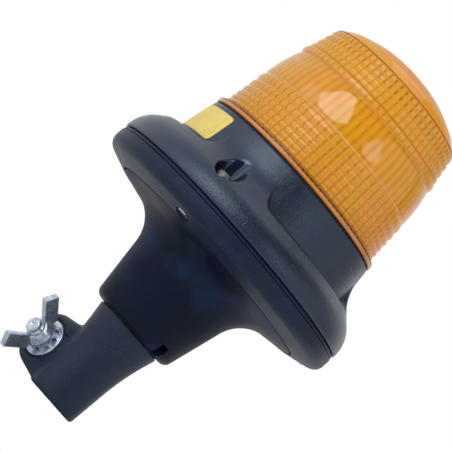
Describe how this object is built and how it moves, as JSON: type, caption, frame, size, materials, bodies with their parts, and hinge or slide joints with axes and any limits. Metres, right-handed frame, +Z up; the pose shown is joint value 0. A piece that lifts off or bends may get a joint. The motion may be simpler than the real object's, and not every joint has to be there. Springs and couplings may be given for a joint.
{
  "type": "flashing warning light",
  "caption": "Amber flashing beacon with a ribbed drum lens on a flared rubber neck and a split clamp socket that a wing nut tightens on a round pole.",
  "frame": {"origin": "centre of the pole bore at the socket's lower end", "axes": "+Z up along the pole, -X towards the clamp lugs, -Y towards the wing nut"},
  "size_m": [0.1682, 0.1682, 0.2646],
  "materials": {
    "socket_plastic": "moulded, fine grain",
    "housing_plastic": "moulded, grained",
    "neck_rubber": "smooth, faintly smudged",
    "seal_rubber": "matt",
    "zinc_steel": "bright zinc plate",
    "amber_lens": "transparent amber, glossy",
    "insulator": "plain",
    "brass": "plain",
    "lead_sheath": "satin",
    "circuit_board": "white solder mask",
    "post_aluminium": "extruded",
    "led_resin": "clear resin over phosphor",
    "choke_winding": "varnished wire"
  },
  "bodies": {
    "beacon": {"pole_socket": "socket_plastic", "clamp_bolt": "zinc_steel", "bolt_head_washer": "zinc_steel", "flat_washer": "zinc_steel", "neck_cone": "neck_rubber", "neck_seal": "seal_rubber", "socket_nut": "socket_plastic", "neck_screws": "zinc_steel", "base_ring": "housing_plastic", "base_gasket": "seal_rubber", "upper_housing": "housing_plastic", "housing_screws": "zinc_steel", "housing_washers": "zinc_steel", "housing_nuts": "zinc_steel", "lens": "amber_lens", "lens_seal": "seal_rubber", "contact_carrier": "insulator", "contact_spring": "zinc_steel", "contact_terminal": "brass", "earth_ring": "brass", "power_leads": "lead_sheath", "board_spacers": "brass", "main_board": "circuit_board", "board_screws": "zinc_steel", "led_post": "post_aluminium", "led_strips": "circuit_board", "led_emitters": "led_resin", "capacitors": "post_aluminium", "choke": "choke_winding", "terminal_block": "insulator"},
    "nut_washer": {"lock_washer": "zinc_steel"},
    "clamp_nut": {"wing_nut": "zinc_steel"},
    "centre_contact": {"contact_pin": "brass"}
  },
  "joints": [
    {"name": "nut_travel", "type": "slide", "parent": "beacon", "child": "nut_washer", "axis": [0, -1, 0], "range_m": [0, 0.00187]},
    {"name": "wing_nut_turn", "type": "hinge", "parent": "nut_washer", "child": "clamp_nut", "pos_m": [-0.0256, 0, 0.0207], "axis": [0, -1, 0], "range_deg": [0, 540]},
    {"name": "contact_press", "type": "slide", "parent": "beacon", "child": "centre_contact", "axis": [0, 0, 1], "range_m": [0, 0.0025], "stiffness_N_per_m": 400, "springref_m": -0.004, "deforming": ["contact_spring"]}
  ],
  "couplings": [
    {"joint": "nut_travel", "follows": "wing_nut_turn", "m_per_rad": 0.00019894}
  ]
}
